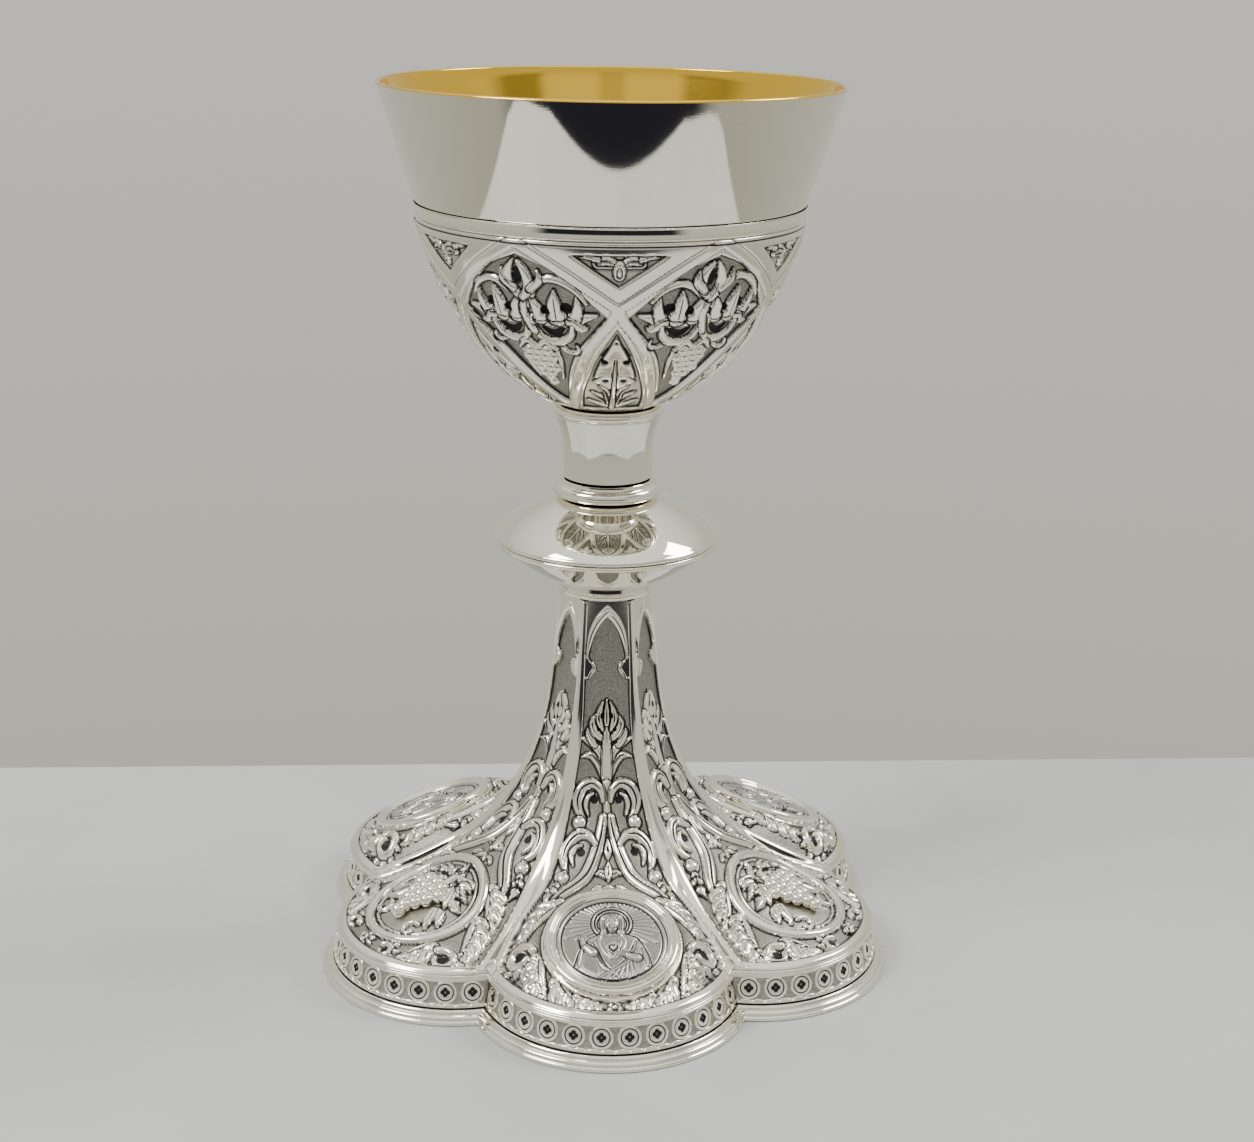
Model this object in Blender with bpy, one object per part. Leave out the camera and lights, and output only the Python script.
"""Communion chalice with a six-lobed foot, clamped together by one rod down its axis.

Metres, +Z up. The chalice's axis is Z, it stands on Z = 0 and its front lobe faces -Y.
The pieces are stacked from the base upwards, each with its own height, and every seat,
bore and rim is worked out from the piece that it meets and a named clearance.
"""
from math import asin, cos, pi, radians, sin

import bmesh
import bpy
import numpy as np
from mathutils import Matrix, Vector

MM = 0.001

# Clearances
SEAM = 0.3 * MM              # between two pieces that are clamped or soldered together
ROD_CLEARANCE = 0.4 * MM     # between the rod and each hole that it passes through
THREAD_CLEARANCE = 0.15 * MM  # between the rod's crests and a tapped hole

# Foot: six lobes, whose outlines are arcs about centres on a ring
LOBES = 6
HALF_LOBE = pi / LOBES
LOBE_RING_RADIUS = 41.5 * MM
SHELL_LOBE_RADIUS = 29.8 * MM
BASE_LOBE_RADIUS = 34.0 * MM
BASE_HEIGHT = 2.9 * MM
BASE_RING_WIDTH = 6.5 * MM
STRIP_HEIGHT = 6.4 * MM
STRIP_THICKNESS = 0.9 * MM
STRIP_SETBACK = 0.7 * MM
STRIP_BATTER = 2.0 * MM       # how much further out the strip's foot is than its head
RIM_HEIGHT = 1.1 * MM
RIM_OVERHANG = 0.5 * MM
RIM_WIDTH = 2.4 * MM

# Stem and foot shell: curves given by how far along and down their two handles lie
SHELL_HEIGHT = 77.7 * MM
SHELL_WALL = 1.4 * MM
STEM_CORNER_RADIUS = 11.7 * MM
RIDGE_HANDLES = ((0.043, 0.386), (0.348, 0.107))
CENTRE_HANDLES = ((0.073, 0.235), (0.114, 0.268))

# Medallions on every other lobe
MEDALLION_LOBES = (0, 2, 4)
MEDALLION_DISTANCE = 51.0 * MM
MEDALLION_RADIUS = 12.9 * MM
MEDALLION_THICKNESS = 1.1 * MM
BEZEL_WIDTH = 2.6 * MM
BEZEL_HEIGHT = 1.9 * MM
SEAT_MARGIN = 4.0 * MM
SEAT_BLEND = 9.0 * MM

# Plates inside the foot
CAP_PLATE_THICKNESS = 3.0 * MM
BEARING_PLATE_DROP = 41.0 * MM
BEARING_PLATE_THICKNESS = 2.0 * MM

# Turned stem pieces
LOWER_COLLAR_HEIGHT = 2.7 * MM
LOWER_COLLAR_RADIUS = 11.9 * MM
KNOP_RADIUS = 27.4 * MM
KNOP_UPPER_HEIGHT = 10.1 * MM
KNOP_LOWER_HEIGHT = 10.4 * MM
KNOP_NECK_RADIUS = 11.5 * MM
KNOP_WALL = 1.0 * MM
SLEEVE_RADIUS = 7.5 * MM
KNOP_COLLAR_HEIGHT = 4.2 * MM
KNOP_COLLAR_RADIUS = 13.4 * MM
SPOOL_HEIGHT = 17.8 * MM
SPOOL_FLANGE_RADIUS = 13.4 * MM
SPOOL_WAIST_RADIUS = 10.7 * MM

# Cup and calyx
CALYX_HEIGHT = 44.0 * MM
CALYX_FOOT_RADIUS = 11.6 * MM
CALYX_WALL = 1.4 * MM
CALYX_FLOOR = 1.6 * MM
BAND_HEIGHT = 3.0 * MM
BAND_THICKNESS = 0.6 * MM
CUP_ABOVE_BAND = 26.7 * MM
CUP_RIM_RADIUS = 53.6 * MM
CUP_FLARE = 9.55 * MM         # how much wider the rim is than the shoulder
CUP_WALL = 1.2 * MM
CUP_BOWL_FLATNESS = 0.454     # how far out the bowl's bottom stays flat, of the shoulder's radius
CUP_LIP = 0.3 * MM           # the chamfer on each side of the cup's rim
CUP_SEAT_HANDLE = 0.48       # how far down the bowl the cone's slope is felt, of its depth
BOSS_HEIGHT = 8.0 * MM
BOSS_RADIUS = 6.5 * MM
BOSS_ROOF = 1.5 * MM

# Fastening: rod, washer and wing nut
ROD_RADIUS = 3.0 * MM
ROD_END_GAP = 0.5 * MM
ROD_PROTRUSION = 3.0 * MM
WASHER_RADIUS = 9.0 * MM
WASHER_THICKNESS = 1.6 * MM
NUT_HEIGHT = 7.0 * MM
NUT_RADIUS = 6.5 * MM
WING_SPAN = 30.0 * MM
WING_DROP = 14.5 * MM
WING_THICKNESS = 2.0 * MM
WING_TIP_RADIUS = 4.0 * MM

# Facets
CUP_SEGMENTS = 40
KNOP_SEGMENTS = 32
STEM_SEGMENTS = 24
LOBE_SEGMENTS = 12
PANEL_COLUMNS = 10
PANEL_ROWS = 14
PANEL_CROWDING = 1.6     # above 1, the panel's rows lie closer together towards its edge
FINE = 400

# Levels, from the base upwards
STRIP_BOTTOM = BASE_HEIGHT + SEAM
STRIP_TOP = STRIP_BOTTOM + STRIP_HEIGHT
RIM_BOTTOM = STRIP_TOP + SEAM
RIM_TOP = RIM_BOTTOM + RIM_HEIGHT
SHELL_BOTTOM = RIM_TOP + SEAM
SHELL_TOP = SHELL_BOTTOM + SHELL_HEIGHT
LOWER_COLLAR_BOTTOM = SHELL_TOP + SEAM
LOWER_COLLAR_TOP = LOWER_COLLAR_BOTTOM + LOWER_COLLAR_HEIGHT
KNOP_BOTTOM = LOWER_COLLAR_TOP + SEAM
KNOP_SEAM_BOTTOM = KNOP_BOTTOM + KNOP_LOWER_HEIGHT
KNOP_SEAM_TOP = KNOP_SEAM_BOTTOM + SEAM
KNOP_TOP = KNOP_SEAM_TOP + KNOP_UPPER_HEIGHT
KNOP_COLLAR_BOTTOM = KNOP_TOP + SEAM
KNOP_COLLAR_TOP = KNOP_COLLAR_BOTTOM + KNOP_COLLAR_HEIGHT
SPOOL_BOTTOM = KNOP_COLLAR_TOP + SEAM
SPOOL_TOP = SPOOL_BOTTOM + SPOOL_HEIGHT
CALYX_BOTTOM = SPOOL_TOP + SEAM
CALYX_TOP = CALYX_BOTTOM + CALYX_HEIGHT
BAND_BOTTOM = CALYX_TOP + SEAM
BAND_TOP = BAND_BOTTOM + BAND_HEIGHT
CUP_RIM = BAND_TOP + CUP_ABOVE_BAND
CUP_SHOULDER_RADIUS = CUP_RIM_RADIUS - CUP_FLARE
BOSS_BOTTOM = CALYX_BOTTOM + CALYX_FLOOR + SEAM
BOSS_TOP = BOSS_BOTTOM + BOSS_HEIGHT
CUP_BOTTOM = BOSS_TOP + SEAM
PLATE_BOTTOM = SHELL_TOP - BEARING_PLATE_DROP - BEARING_PLATE_THICKNESS
WASHER_TOP = PLATE_BOTTOM - SEAM
NUT_TOP = WASHER_TOP - WASHER_THICKNESS - SEAM
ROD_TOP = BOSS_TOP - BOSS_ROOF - ROD_END_GAP
ROD_BOTTOM = NUT_TOP - NUT_HEIGHT - ROD_PROTRUSION

ROD_HOLE = ROD_RADIUS + ROD_CLEARANCE
TAPPED_HOLE = ROD_RADIUS + THREAD_CLEARANCE
SLEEVE_HOLE = SLEEVE_RADIUS + SEAM
MEDALLION_HOLE = MEDALLION_RADIUS + SEAM
BEZEL_RADIUS = MEDALLION_HOLE + BEZEL_WIDTH
SEAT_RADIUS = BEZEL_RADIUS + SEAT_MARGIN

SILVER = ((0.86, 0.84, 0.79), 0.12)
CHASED_SILVER = ((0.70, 0.68, 0.63), 0.32)
ANTIQUE_SILVER = ((0.55, 0.54, 0.52), 0.38)
BRASS = ((0.78, 0.60, 0.32), 0.35)


def clear_scene():
    """Remove every object that the file starts with."""
    for item in list(bpy.data.objects):
        bpy.data.objects.remove(item, do_unlink=True)


def finish_object(name, mesh_data, look, sharp_degrees=35):
    """Turn a bmesh into a named, smooth-shaded object with a metal finish of its own."""
    bmesh.ops.recalc_face_normals(mesh_data, faces=mesh_data.faces)
    mesh = bpy.data.meshes.new(name)
    mesh_data.to_mesh(mesh)
    mesh_data.free()
    mesh.shade_smooth()
    mesh.set_sharp_from_angle(angle=radians(sharp_degrees))
    colour, roughness = look
    material = bpy.data.materials.new(name + "_finish")
    material.use_nodes = True
    shader = material.node_tree.nodes["Principled BSDF"]
    shader.inputs["Base Color"].default_value = (*colour, 1.0)
    shader.inputs["Roughness"].default_value = roughness
    shader.inputs["Metallic"].default_value = 1.0
    mesh.materials.append(material)
    item = bpy.data.objects.new(name, mesh)
    bpy.context.collection.objects.link(item)
    return item


def bezier(start, first, second, end, steps):
    """Points along a cubic Bezier curve, both ends included."""
    t = np.linspace(0.0, 1.0, steps + 1)[:, None]
    corners = [np.array(point) for point in (start, first, second, end)]
    curve = (1 - t) ** 3 * corners[0] + 3 * t * (1 - t) ** 2 * corners[1]
    curve = curve + 3 * t ** 2 * (1 - t) * corners[2] + t ** 3 * corners[3]
    return [tuple(point) for point in curve]


def turned(name, profile, look, segments, sharp_degrees=35):
    """A turned piece: its half section, as (radius, height) points, spun about the axis."""
    form = bmesh.new()
    section = [form.verts.new((radius, 0.0, height)) for radius, height in profile]
    edges = [form.edges.new(pair) for pair in zip(section, section[1:])]
    if profile[0][0] > 0.0 or profile[-1][0] > 0.0:
        edges.append(form.edges.new((section[-1], section[0])))
    bmesh.ops.spin(form, geom=section + edges, cent=(0, 0, 0), axis=(0, 0, 1), dvec=(0, 0, 0),
                   angle=2 * pi, steps=segments, use_merge=True, use_duplicate=False)
    bmesh.ops.remove_doubles(form, verts=form.verts, dist=MM / 1000)
    return finish_object(name, form, look, sharp_degrees)


def ring_of_quads(form, loops, closed_section=True):
    """Skin a list of closed loops of vertices that each have the same number of points."""
    pairs = list(zip(loops, loops[1:]))
    if closed_section:
        pairs.append((loops[-1], loops[0]))
    for lower, upper in pairs:
        count = len(lower)
        for k in range(count):
            form.faces.new((lower[k], lower[(k + 1) % count], upper[(k + 1) % count], upper[k]))


def lobe_angle(lobe_radius, gap=0.0):
    """Half the angle of a lobe's arc, up to the notch or to a gap that is centred on it."""
    return HALF_LOBE + asin((LOBE_RING_RADIUS * sin(HALF_LOBE) - gap / 2) / lobe_radius)


def lobe_point(lobe, lobe_radius, angle, height):
    """A point on the arc of one lobe. Lobe 0 faces -Y and the rest follow anticlockwise."""
    across = lobe_radius * sin(angle)
    out = LOBE_RING_RADIUS + lobe_radius * cos(angle)
    turn = 2 * HALF_LOBE * lobe
    return (across * cos(turn) + out * sin(turn), across * sin(turn) - out * cos(turn), height)


def lobed_loop(form, lobe_radius, height):
    """One closed outline around all six lobes, at a given lobe radius and height."""
    reach = lobe_angle(lobe_radius)
    loop = []
    for lobe in range(LOBES):
        for step in range(LOBE_SEGMENTS):
            angle = reach * (2 * step / LOBE_SEGMENTS - 1)
            loop.append(form.verts.new(lobe_point(lobe, lobe_radius, angle, height)))
    return loop


def lobed_ring(name, profile, look):
    """A moulding that follows the lobes. Its section is (lobe radius, height) points."""
    form = bmesh.new()
    ring_of_quads(form, [lobed_loop(form, radius, height) for radius, height in profile])
    return finish_object(name, form, look)


def base_moulding():
    """The stepped flange that the chalice stands on."""
    edge = BASE_LOBE_RADIUS
    inner = edge - BASE_RING_WIDTH
    profile = [(inner, 0.0), (edge, 0.0), (edge, 0.40 * BASE_HEIGHT),
               (edge - 0.9 * MM, 0.45 * BASE_HEIGHT), (edge - 1.4 * MM, 0.75 * BASE_HEIGHT),
               (edge - 2.6 * MM, BASE_HEIGHT), (inner, BASE_HEIGHT)]
    lobed_ring("base_moulding", profile, SILVER)


def rim_moulding():
    """The thin half-round rim between the gallery and the foot shell."""
    outer = SHELL_LOBE_RADIUS + RIM_OVERHANG
    inner = outer - RIM_WIDTH
    profile = [(inner, RIM_BOTTOM), (outer - 0.4 * MM, RIM_BOTTOM), (outer, RIM_BOTTOM + 0.3 * MM),
               (outer, RIM_TOP - 0.3 * MM), (outer - 0.4 * MM, RIM_TOP), (inner, RIM_TOP)]
    lobed_ring("gallery_top_moulding", profile, SILVER)


def gallery_strip(lobe):
    """One length of the gallery: a strip bent around a lobe, which leans in towards its head."""
    head = SHELL_LOBE_RADIUS - STRIP_SETBACK
    foot = head + STRIP_BATTER
    corners = ((foot - STRIP_THICKNESS, STRIP_BOTTOM), (foot, STRIP_BOTTOM),
               (head, STRIP_TOP), (head - STRIP_THICKNESS, STRIP_TOP))
    form = bmesh.new()
    sections = []
    for step in range(LOBE_SEGMENTS + 1):
        section = []
        for radius, height in corners:
            angle = lobe_angle(radius, SEAM) * (2 * step / LOBE_SEGMENTS - 1)
            section.append(form.verts.new(lobe_point(lobe, radius, angle, height)))
        sections.append(section)
    ring_of_quads(form, sections, closed_section=False)
    form.faces.new(sections[0])
    form.faces.new(sections[-1])
    finish_object(f"gallery_strip_{lobe + 1}", form, CHASED_SILVER)


def swept(start, end, handles):
    """A fine curve from start down and out to end, as an array of (radius, height) rows.

    Each handle is a share of the way out and a share of the height that is left.
    """
    width = end[0] - start[0]
    height = start[1] - end[1]
    first, second = [(start[0] + out * width, end[1] + up * height) for out, up in handles]
    return np.array(bezier(start, first, second, end, FINE))


def inward(curve, wall):
    """The same curve, moved inwards by a wall and cut off level with the curve's end."""
    along = np.gradient(curve, axis=0)
    along = along / np.linalg.norm(along, axis=1)[:, None]
    moved = curve + wall * np.stack((along[:, 1], -along[:, 0]), axis=1)
    inside = moved[:, 1] >= curve[-1, 1]
    last = int(np.flatnonzero(inside)[-1])
    above, below = moved[last], moved[last + 1]
    share = (above[1] - curve[-1, 1]) / (above[1] - below[1])
    cut = np.vstack((moved[:last + 1], above + share * (below - above)))
    cut[0, 1] = curve[0, 1]
    return cut


def picked(curve, shares):
    """Rows of a fine curve at shares of its length in steps."""
    places = np.asarray(shares) * (len(curve) - 1)
    steps = np.arange(len(curve))
    return np.stack([np.interp(places, steps, curve[:, k]) for k in (0, 1)], axis=1)


def shell_curves():
    """The outer ridge and face-centre curves of the foot shell, then the inner two."""
    ridge_end = LOBE_RING_RADIUS * cos(HALF_LOBE)
    ridge_end += SHELL_LOBE_RADIUS * cos(lobe_angle(SHELL_LOBE_RADIUS) - HALF_LOBE)
    ridge = swept((STEM_CORNER_RADIUS, SHELL_TOP), (ridge_end, SHELL_BOTTOM), RIDGE_HANDLES)
    apothem = STEM_CORNER_RADIUS * cos(HALF_LOBE)
    centre_end = LOBE_RING_RADIUS + SHELL_LOBE_RADIUS
    centre = swept((apothem, SHELL_TOP), (centre_end, SHELL_BOTTOM), CENTRE_HANDLES)
    return ridge, centre, inward(ridge, SHELL_WALL / cos(HALF_LOBE)), inward(centre, SHELL_WALL)


def seat_frame(centre):
    """Where a medallion sits on its face's centre curve: radius, height and slope."""
    k = int(np.argmin(np.abs(centre[:, 0] - MEDALLION_DISTANCE)))
    run, fall = centre[k + 1] - centre[k - 1]
    return centre[k, 0], centre[k, 1], np.arctan2(-fall, run)


def arc_across(left, middle, right, share):
    """A point on the circle through three points. The share runs from -1 to 1."""
    chord = right - left
    half = np.linalg.norm(chord) / 2
    rise = middle - (left + right) / 2
    height = np.linalg.norm(rise)
    if height < MM / 1000:
        return left + chord * (share + 1) / 2
    radius = (half ** 2 + height ** 2) / (2 * height)
    angle = share * asin(half / radius)
    centre = middle - rise / height * radius
    return centre + radius * (sin(angle) * chord / (2 * half) + cos(angle) * rise / height)


def face_rows(ridge_rows, centre_rows, seat, drop):
    """The grid of one face, facing -Y. A seat flattens it around the medallion."""
    grid = []
    tangent = sin(HALF_LOBE), -cos(HALF_LOBE)
    for row, (ridge, centre) in enumerate(zip(ridge_rows, centre_rows)):
        left = np.array((-ridge[0] * tangent[0], ridge[0] * tangent[1], ridge[1]))
        right = np.array((ridge[0] * tangent[0], ridge[0] * tangent[1], ridge[1]))
        middle = np.array((0.0, -centre[0], centre[1]))
        points = []
        for column in range(PANEL_COLUMNS):
            point = arc_across(left, middle, right, 2 * column / PANEL_COLUMNS - 1)
            if seat and row < len(ridge_rows) - 1:
                point = flattened(point, seat, drop)
            points.append(point)
        grid.append(points)
    return grid


def flattened(point, seat, drop):
    """Move a point onto the medallion's seat, fully near it and not at all away from it."""
    out, height, slope = seat
    normal = np.array((0.0, -sin(slope), cos(slope)))
    origin = np.array((0.0, -out, height)) - drop * normal
    away = point - origin
    lift = float(away @ normal)
    distance = float(np.linalg.norm(away - lift * normal))
    share = min(max((SEAT_RADIUS + SEAT_BLEND - distance) / SEAT_BLEND, 0.0), 1.0)
    return point - share * share * (3 - 2 * share) * lift * normal


def foot_shell():
    """The six-sided stem that sweeps out into six lobes, as one shell open at both ends."""
    ridge, centre, inner_ridge, inner_centre = shell_curves()
    shares = 1 - (1 - np.linspace(0, 1, PANEL_ROWS + 1)) ** PANEL_CROWDING
    seat = seat_frame(centre)
    form = bmesh.new()
    walls = []
    for ridge_curve, centre_curve, drop in ((ridge, centre, 0.0),
                                            (inner_ridge, inner_centre, SHELL_WALL)):
        ridge_rows = picked(ridge_curve, shares)
        centre_rows = picked(centre_curve, shares)
        loops = [[] for _ in shares]
        for lobe in range(LOBES):
            lobe_seat = seat if lobe in MEDALLION_LOBES else None
            grid = face_rows(ridge_rows, centre_rows, lobe_seat, drop)
            turn = Matrix.Rotation(2 * HALF_LOBE * lobe, 3, "Z")
            for loop, points in zip(loops, grid):
                loop.extend(form.verts.new(turn @ Vector(point)) for point in points)
        walls.append(loops)
    ring_of_quads(form, walls[0] + walls[1][::-1])
    finish_object("foot_shell", form, CHASED_SILVER)


def placed_on_seat(item, lobe):
    """Stand a piece on the medallion seat of a lobe, a seam above the shell."""
    out, height, slope = seat_frame(shell_curves()[1])
    turn = 2 * HALF_LOBE * lobe
    out += SEAM * sin(slope)
    item.location = (out * sin(turn), -out * cos(turn), height + SEAM * cos(slope))
    item.rotation_euler = (slope, 0.0, turn)


def medallion(lobe, number):
    """The disc that carries a relief, and the ring that holds it."""
    disc = [(0.0, 0.0), (MEDALLION_RADIUS, 0.0), (MEDALLION_RADIUS, MEDALLION_THICKNESS),
            (0.0, MEDALLION_THICKNESS)]
    placed_on_seat(turned(f"medallion_{number}", disc, ANTIQUE_SILVER, STEM_SEGMENTS), lobe)
    hole, outer = MEDALLION_HOLE, BEZEL_RADIUS
    bezel = [(hole, 0.0), (outer, 0.0), (outer, 0.40 * BEZEL_HEIGHT),
             (outer - 0.2 * BEZEL_WIDTH, 0.85 * BEZEL_HEIGHT), (outer - 0.5 * BEZEL_WIDTH, BEZEL_HEIGHT),
             (hole + 0.15 * BEZEL_WIDTH, 0.8 * BEZEL_HEIGHT), (hole, 0.65 * BEZEL_HEIGHT)]
    placed_on_seat(turned(f"medallion_bezel_{number}", bezel, SILVER, STEM_SEGMENTS), lobe)


def cap_plate():
    """The hexagonal plate that closes the top of the stem and centres the rod."""
    inner_ridge = shell_curves()[2]
    corner = inner_ridge[0, 0] - SEAM / cos(HALF_LOBE)
    form = bmesh.new()
    loops = []
    for radius_of, height in ((None, SHELL_TOP), (corner, SHELL_TOP),
                              (corner, SHELL_TOP - CAP_PLATE_THICKNESS),
                              (None, SHELL_TOP - CAP_PLATE_THICKNESS)):
        loop = []
        for step in range(STEM_SEGMENTS):
            angle = 2 * pi * step / STEM_SEGMENTS
            radius = ROD_HOLE
            if radius_of:
                from_face = (angle % (2 * HALF_LOBE)) - HALF_LOBE
                radius = radius_of * cos(HALF_LOBE) / cos(from_face)
            loop.append(form.verts.new((radius * cos(angle), radius * sin(angle), height)))
        loops.append(loop)
    ring_of_quads(form, loops)
    finish_object("foot_cap_plate", form, BRASS)


def bearing_plate():
    """The disc soldered across the inside of the foot, which the nut pulls against."""
    inner_centre = shell_curves()[3]
    top = PLATE_BOTTOM + BEARING_PLATE_THICKNESS
    radius = float(np.interp(-top, -inner_centre[:, 1], inner_centre[:, 0])) - 2 * SEAM
    profile = [(ROD_HOLE, PLATE_BOTTOM), (radius, PLATE_BOTTOM), (radius, top), (ROD_HOLE, top)]
    turned("bearing_plate", profile, BRASS, STEM_SEGMENTS)


def lower_collar():
    """The ring between the hexagonal stem and the knop."""
    top, bottom, outer = LOWER_COLLAR_TOP, LOWER_COLLAR_BOTTOM, LOWER_COLLAR_RADIUS
    profile = [(ROD_HOLE, bottom), (outer - 0.2 * MM, bottom), (outer, bottom + 0.5 * MM),
               (outer - 0.1 * MM, bottom + 1.2 * MM), (outer - 0.7 * MM, bottom + 1.6 * MM),
               (outer - 0.7 * MM, top), (ROD_HOLE, top)]
    turned("lower_collar", profile, SILVER, STEM_SEGMENTS)


def knop_section(bottom_up):
    """The outer curve of one half of the knop, from its edge to its neck, as height from the seam."""
    height = KNOP_UPPER_HEIGHT if bottom_up else KNOP_LOWER_HEIGHT
    bulge = 0.82 if bottom_up else 0.70
    reach = KNOP_RADIUS - KNOP_NECK_RADIUS
    edge = (KNOP_RADIUS - 0.6 * MM, 1.1 * MM)
    curve = bezier(edge, (KNOP_NECK_RADIUS + bulge * reach, 0.42 * height),
                   (KNOP_NECK_RADIUS + 0.36 * reach, 0.84 * height), (KNOP_NECK_RADIUS, height), 5)
    return [(KNOP_RADIUS, 0.0)] + curve


def knop_half(name, seam_level, direction):
    """One spun half of the knop. The direction is 1 for the upper half, -1 for the lower."""
    outside = knop_section(direction > 0)
    floor = outside[-1][1]
    inside = [(radius - KNOP_WALL, max(height - 0.6 * KNOP_WALL, 0.0)) for radius, height in outside[:-1]]
    ceiling = floor - KNOP_WALL
    section = outside + [(SLEEVE_HOLE, floor), (SLEEVE_HOLE, ceiling),
                         (KNOP_NECK_RADIUS - KNOP_WALL, ceiling)]
    section += [point for point in inside[::-1] if point[1] < ceiling - 0.2 * KNOP_WALL]
    profile = [(radius, seam_level + direction * height) for radius, height in section]
    turned(name, profile, SILVER, KNOP_SEGMENTS)


def knop_sleeve():
    """The tube inside the knop that takes the rod's pull between the two collars."""
    profile = [(ROD_HOLE, KNOP_BOTTOM), (SLEEVE_RADIUS, KNOP_BOTTOM),
               (SLEEVE_RADIUS, KNOP_TOP), (ROD_HOLE, KNOP_TOP)]
    turned("knop_sleeve", profile, BRASS, STEM_SEGMENTS)


def knop_collar():
    """The half-round collar on top of the knop, with a small fillet ring above it."""
    bottom, top, outer = KNOP_COLLAR_BOTTOM, KNOP_COLLAR_TOP, KNOP_COLLAR_RADIUS
    bead = 1.55 * MM
    middle = bottom + bead
    profile = [(ROD_HOLE, bottom)]
    for step in range(5):
        angle = radians(-75 + step * 37.5)
        profile.append((outer - bead + bead * cos(angle), middle + bead * sin(angle)))
    fillet = outer - 1.8 * MM
    profile += [(fillet, middle + bead + 0.1 * MM), (fillet, top), (ROD_HOLE, top)]
    turned("knop_collar", profile, SILVER, STEM_SEGMENTS)


def stem_spool():
    """The waisted spool under the calyx, with a rounded flange at its top."""
    waist, flange = SPOOL_WAIST_RADIUS, SPOOL_FLANGE_RADIUS
    bead = 1.3 * MM
    neck = SPOOL_TOP - 2 * bead - 0.3 * MM
    profile = [(ROD_HOLE, SPOOL_TOP), (ROD_HOLE, SPOOL_BOTTOM), (waist, SPOOL_BOTTOM)]
    profile += bezier((waist, SPOOL_BOTTOM + 0.2 * SPOOL_HEIGHT), (waist + 0.1 * MM, SPOOL_TOP - 8.0 * MM),
                      (flange - 1.9 * MM, neck - 3.0 * MM), (flange - 0.7 * MM, neck), 5)
    for step in range(4):
        angle = radians(-60 + step * 45)
        profile.append((flange - bead + bead * cos(angle), SPOOL_TOP - bead + bead * sin(angle)))
    turned("stem_spool", profile, SILVER, STEM_SEGMENTS)


def cup_radius(height):
    """The cup's outer radius at a height on its straight cone."""
    share = (height - CALYX_TOP) / (CUP_RIM - CALYX_TOP)
    return CUP_SHOULDER_RADIUS + share * CUP_FLARE


def bowl(wall):
    """The round of the cup from its bottom up to its shoulder, moved in by a wall."""
    slope = CUP_FLARE / (CUP_RIM - CALYX_TOP)
    flat = CUP_BOWL_FLATNESS * CUP_SHOULDER_RADIUS
    handle = CUP_SEAT_HANDLE * (CALYX_TOP - CUP_BOTTOM)
    shoulder = (CUP_SHOULDER_RADIUS - wall, CALYX_TOP)
    return bezier((0.0, CUP_BOTTOM + wall), (flat, CUP_BOTTOM + wall),
                  (shoulder[0] - slope * handle, CALYX_TOP - handle), shoulder, 8)


def cup():
    """The cup: a straight flaring cone above, a round bowl below."""
    edge = cup_radius(CUP_RIM - CUP_LIP)
    outside = bowl(0.0) + [(edge, CUP_RIM - CUP_LIP)]
    rim = [(CUP_RIM_RADIUS - CUP_LIP, CUP_RIM), (CUP_RIM_RADIUS - CUP_WALL + CUP_LIP, CUP_RIM)]
    inside = [(edge - CUP_WALL, CUP_RIM - CUP_LIP)] + bowl(CUP_WALL)[::-1]
    turned("cup", outside + rim + inside, SILVER, CUP_SEGMENTS)


def cup_boss():
    """The tapped boss soldered under the cup."""
    roof = BOSS_TOP - BOSS_ROOF
    profile = [(0.0, BOSS_TOP), (BOSS_RADIUS - 0.5 * MM, BOSS_TOP), (BOSS_RADIUS, BOSS_TOP - 0.5 * MM),
               (BOSS_RADIUS, BOSS_BOTTOM), (TAPPED_HOLE, BOSS_BOTTOM), (TAPPED_HOLE, roof), (0.0, roof)]
    turned("cup_boss", profile, BRASS, STEM_SEGMENTS)


def calyx():
    """The open cup of chased work that holds the lower half of the bowl."""
    floor = CALYX_BOTTOM + CALYX_FLOOR
    top_out = cup_radius(BAND_BOTTOM) + SEAM + BAND_THICKNESS
    top_in = cup_radius(CALYX_TOP) + SEAM
    reach = top_out - CALYX_FOOT_RADIUS
    upper = (CALYX_FOOT_RADIUS + 0.853 * reach, CALYX_BOTTOM + 0.475 * CALYX_HEIGHT)
    lower = (CALYX_FOOT_RADIUS + 0.425 * reach, CALYX_BOTTOM + 0.105 * CALYX_HEIGHT)
    outside = bezier((top_out, CALYX_TOP), upper, lower, (CALYX_FOOT_RADIUS, CALYX_BOTTOM), 9)
    inside = bezier((CALYX_FOOT_RADIUS - CALYX_WALL, floor), (lower[0] - CALYX_WALL, lower[1] + CALYX_WALL),
                    (upper[0] - CALYX_WALL, upper[1]), (top_in, CALYX_TOP), 9)
    profile = outside + [(ROD_HOLE, CALYX_BOTTOM), (ROD_HOLE, floor)] + inside
    turned("calyx", profile, CHASED_SILVER, CUP_SEGMENTS)


def calyx_band():
    """The plain ring that hides the joint between the calyx and the cup."""
    profile = []
    for height, depth in ((BAND_BOTTOM, SEAM), (BAND_BOTTOM, SEAM + BAND_THICKNESS),
                          (BAND_TOP, SEAM + BAND_THICKNESS), (BAND_TOP, SEAM)):
        profile.append((cup_radius(height) + depth, height))
    turned("calyx_band", profile, SILVER, CUP_SEGMENTS)


def tie_rod():
    """The rod that holds the stack together, from the boss down to the wing nut."""
    end = 0.5 * MM
    profile = [(0.0, ROD_TOP), (ROD_RADIUS - end, ROD_TOP), (ROD_RADIUS, ROD_TOP - end),
               (ROD_RADIUS, ROD_BOTTOM + end), (ROD_RADIUS - end, ROD_BOTTOM), (0.0, ROD_BOTTOM)]
    turned("tie_rod", profile, BRASS, STEM_SEGMENTS)


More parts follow.
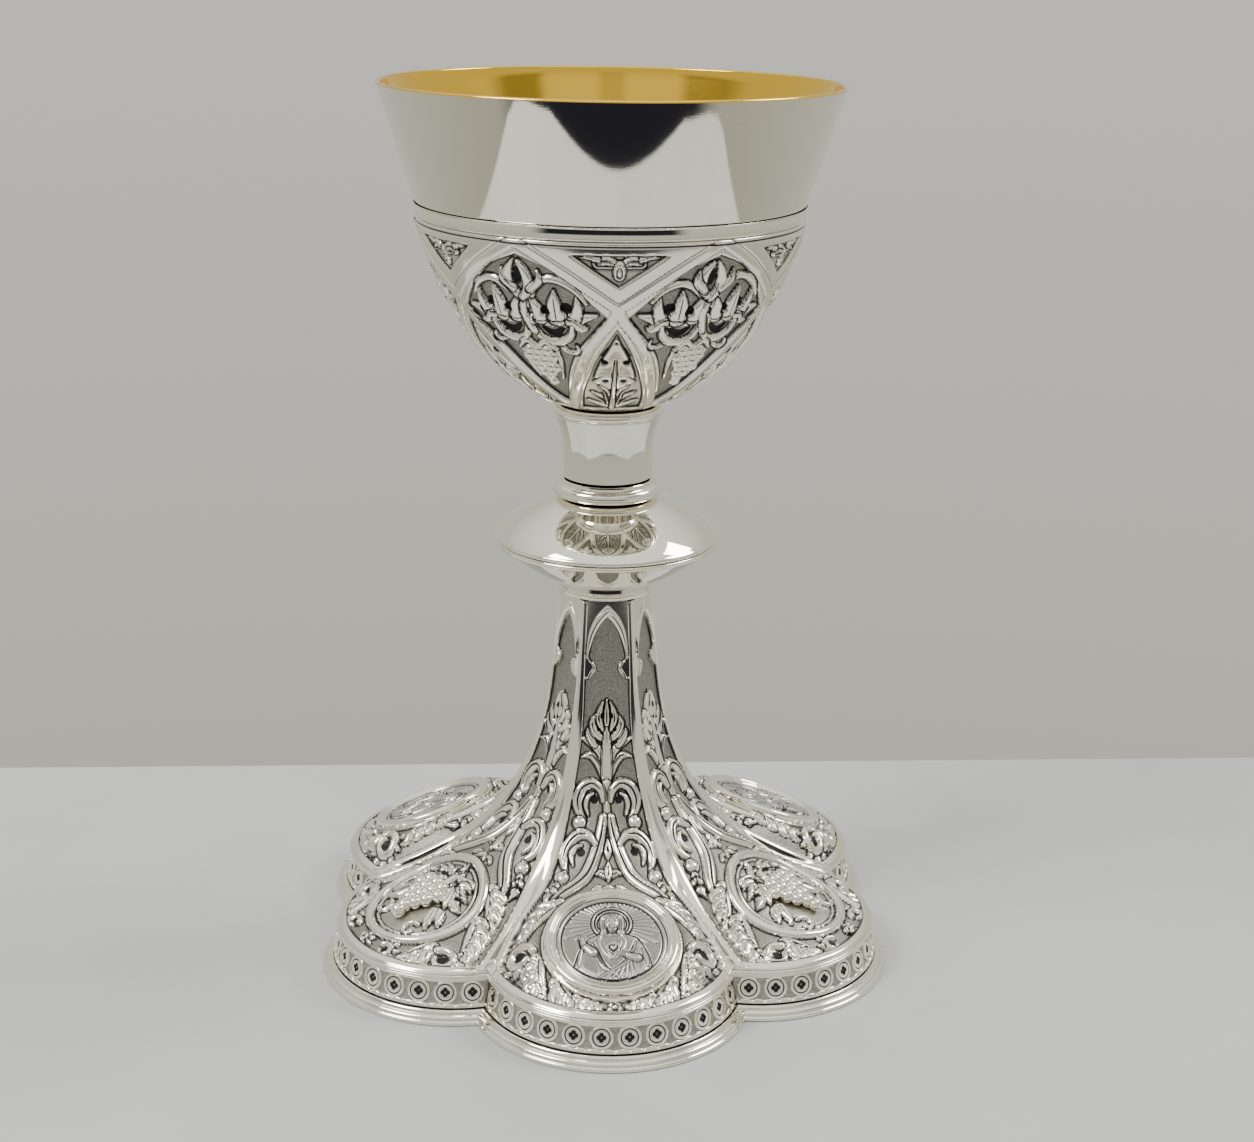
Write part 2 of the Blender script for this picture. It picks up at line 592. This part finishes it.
def washer():
    """The washer between the bearing plate and the nut. Its origin is on the rod's axis."""
    profile = [(ROD_HOLE, -WASHER_THICKNESS), (WASHER_RADIUS, -WASHER_THICKNESS),
               (WASHER_RADIUS, 0.0), (ROD_HOLE, 0.0)]
    turned("washer", profile, BRASS, STEM_SEGMENTS).location.z = WASHER_TOP


def wing(name, side):
    """One ear of the wing nut: a flat plate whose outline is the hull of two circles."""
    form = bmesh.new()
    tip = (WING_SPAN / 2 - WING_TIP_RADIUS, -WING_DROP + WING_TIP_RADIUS, WING_TIP_RADIUS)
    root_radius = 2.4 * MM
    root = (TAPPED_HOLE + 0.4 * MM + root_radius, -NUT_HEIGHT / 2, root_radius)
    for y in (-WING_THICKNESS / 2, WING_THICKNESS / 2):
        for x, z, radius in (tip, root):
            for step in range(16):
                angle = 2 * pi * step / 16
                form.verts.new((side * (x + radius * cos(angle)), y, z + radius * sin(angle)))
    hull = bmesh.ops.convex_hull(form, input=form.verts)
    spare = [part for part in hull["geom_interior"] if isinstance(part, bmesh.types.BMVert)]
    bmesh.ops.delete(form, geom=spare, context="VERTS")
    plate = finish_object(name, form, BRASS)
    plate.location.z = NUT_TOP
    plate.hide_render = True
    plate.display_type = "WIRE"
    return plate


def wing_nut():
    """The nut that is turned by hand from under the foot. Its origin is on the rod's axis."""
    shoulder = 1.0 * MM
    profile = [(TAPPED_HOLE, -NUT_HEIGHT), (NUT_RADIUS - shoulder, -NUT_HEIGHT),
               (NUT_RADIUS, -shoulder), (NUT_RADIUS, 0.0), (TAPPED_HOLE, 0.0)]
    hub = turned("wing_nut", profile, BRASS, STEM_SEGMENTS)
    hub.location.z = NUT_TOP
    for side, label in ((1, "right"), (-1, "left")):
        join = hub.modifiers.new(f"join_{label}_wing", "BOOLEAN")
        join.operation = "UNION"
        join.solver = "EXACT"
        join.object = wing(f"wing_form_{label}", side)


def main():
    """Build every piece, from the base to the rim."""
    clear_scene()
    base_moulding()
    for lobe in range(LOBES):
        gallery_strip(lobe)
    rim_moulding()
    foot_shell()
    for number, lobe in enumerate(MEDALLION_LOBES, start=1):
        medallion(lobe, number)
    cap_plate()
    bearing_plate()
    lower_collar()
    knop_half("knop_lower_shell", KNOP_SEAM_BOTTOM, -1)
    knop_half("knop_upper_shell", KNOP_SEAM_TOP, 1)
    knop_sleeve()
    knop_collar()
    stem_spool()
    calyx()
    calyx_band()
    cup()
    cup_boss()
    tie_rod()
    washer()
    wing_nut()


main()
